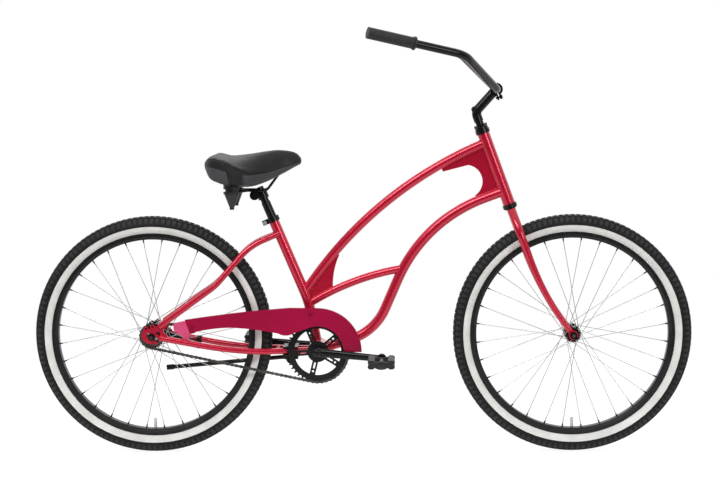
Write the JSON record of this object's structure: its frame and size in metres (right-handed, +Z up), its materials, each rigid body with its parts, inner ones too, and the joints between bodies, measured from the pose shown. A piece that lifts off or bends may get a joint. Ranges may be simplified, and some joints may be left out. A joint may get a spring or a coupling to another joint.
{
  "type": "beach cruiser bicycle",
  "caption": "Step-through beach cruiser bicycle with curved tubes, balloon tyres with pale bands, swept-back handlebar, wide saddle, chain guard and kickstand.",
  "frame": {"origin": "on the ground midway between the two axles", "axes": "+X forward, +Y to the rider's left, +Z up"},
  "size_m": [1.826, 0.702, 1.1781],
  "materials": {
    "frame_paint": "glossy metallic paint",
    "guard_paint": "deep glossy paint",
    "black_steel": "gloss black paint",
    "black_alloy": "black anodised",
    "bare_steel": "zinc plated",
    "chain_steel": "oiled",
    "tyre_rubber": "matt black with a pale side band",
    "tube_rubber": "matt",
    "grip_rubber": "matt",
    "saddle_vinyl": "grained vinyl",
    "black_plastic": "satin"
  },
  "bodies": {
    "frame": {"head_tube": "frame_paint", "top_tube": "frame_paint", "down_tube": "frame_paint", "cross_tube": "frame_paint", "seat_tube": "frame_paint", "bottom_bracket_shell": "frame_paint", "chain_stay_left": "frame_paint", "chain_stay_right": "frame_paint", "seat_stay_left": "frame_paint", "seat_stay_right": "frame_paint", "dropout_left": "frame_paint", "dropout_right": "frame_paint", "gussets": "frame_paint", "stay_bridge": "frame_paint", "bearing_cups": "black_steel", "frame_balls": "bare_steel", "seat_collar": "black_steel", "chain_guard": "guard_paint", "frame_fasteners": "bare_steel", "chain": "chain_steel", "kickstand_bracket": "black_steel", "brake_arm": "black_steel", "rear_axle": "bare_steel", "rear_axle_nuts": "bare_steel"},
    "steering": {"fork_steerer": "frame_paint", "fork_blade_left": "frame_paint", "fork_blade_right": "frame_paint", "headset_races": "black_steel", "front_axle": "bare_steel", "front_axle_nuts": "bare_steel"},
    "front_wheel": {"front_tyre": "tyre_rubber", "front_tube": "tube_rubber", "front_rim": "black_alloy", "front_spokes": "bare_steel", "front_hub": "black_steel"},
    "rear_wheel": {"rear_tyre": "tyre_rubber", "rear_tube": "tube_rubber", "rear_rim": "black_alloy", "rear_spokes": "bare_steel", "rear_hub": "black_steel"},
    "driver": {"rear_sprocket": "chain_steel", "hub_driver": "bare_steel"},
    "crank": {"crank": "black_steel", "chainring": "black_steel", "bracket_cones": "black_steel", "pedal_axles": "bare_steel"},
    "right_pedal": {"right_pedal": "black_plastic"},
    "left_pedal": {"left_pedal": "black_plastic"},
    "kickstand": {"kickstand_leg": "black_steel", "kickstand_foot": "grip_rubber"},
    "seat_post": {"seat_post": "black_steel", "saddle_clamp": "black_steel"},
    "saddle": {"saddle_rails": "black_steel", "saddle_pan": "black_plastic", "saddle_dampers": "black_plastic", "saddle_cover": "saddle_vinyl"},
    "stem": {"stem": "black_alloy"},
    "handlebar": {"handlebar": "black_steel", "grip_left": "grip_rubber", "grip_right": "grip_rubber"}
  },
  "joints": [
    {"name": "steering", "type": "hinge", "parent": "frame", "child": "steering", "pos_m": [0.54347, 0, 0.31698], "axis": [-0.342, 0, 0.9397], "range_deg": [-90, 90]},
    {"name": "front_wheel_spin", "type": "hinge", "parent": "steering", "child": "front_wheel", "pos_m": [0.582, 0, 0.331], "axis": [0, 1, 0], "continuous": true},
    {"name": "rear_wheel_spin", "type": "hinge", "parent": "frame", "child": "rear_wheel", "pos_m": [-0.582, 0, 0.331], "axis": [0, 1, 0], "continuous": true},
    {"name": "crank_spin", "type": "hinge", "parent": "frame", "child": "crank", "pos_m": [-0.12355, 0, 0.2865], "axis": [0, 1, 0], "continuous": true, "deforming": ["chain"]},
    {"name": "driver_spin", "type": "hinge", "parent": "frame", "child": "driver", "pos_m": [-0.582, 0, 0.331], "axis": [0, 1, 0], "continuous": true},
    {"name": "right_pedal_spin", "type": "hinge", "parent": "crank", "child": "right_pedal", "pos_m": [0.05377, -0.138, 0.27099], "axis": [0, 1, 0], "continuous": true},
    {"name": "left_pedal_spin", "type": "hinge", "parent": "crank", "child": "left_pedal", "pos_m": [-0.30088, 0.138, 0.30201], "axis": [0, 1, 0], "continuous": true},
    {"name": "kickstand_swing", "type": "hinge", "parent": "frame", "child": "kickstand", "pos_m": [-0.20495, 0.03, 0.256], "axis": [0.3019, -0.9413, -0.151], "range_deg": [0, 118]},
    {"name": "seat_height", "type": "slide", "parent": "frame", "child": "seat_post", "axis": [-0.3883, 0, 0.9215], "range_m": [-0.035, 0.08]},
    {"name": "saddle_tilt", "type": "hinge", "parent": "seat_post", "child": "saddle", "pos_m": [-0.29502, 0, 0.72005], "axis": [0, 1, 0], "range_deg": [-15, 15]},
    {"name": "stem_height", "type": "slide", "parent": "steering", "child": "stem", "axis": [-0.342, 0, 0.9397], "range_m": [-0.008, 0.035]},
    {"name": "bar_tilt", "type": "hinge", "parent": "stem", "child": "handlebar", "pos_m": [0.37173, 0, 1.00754], "axis": [0, 1, 0], "range_deg": [-20, 20]}
  ],
  "couplings": [
    {"joint": "driver_spin", "follows": "crank_spin", "ratio": 2.625}
  ]
}
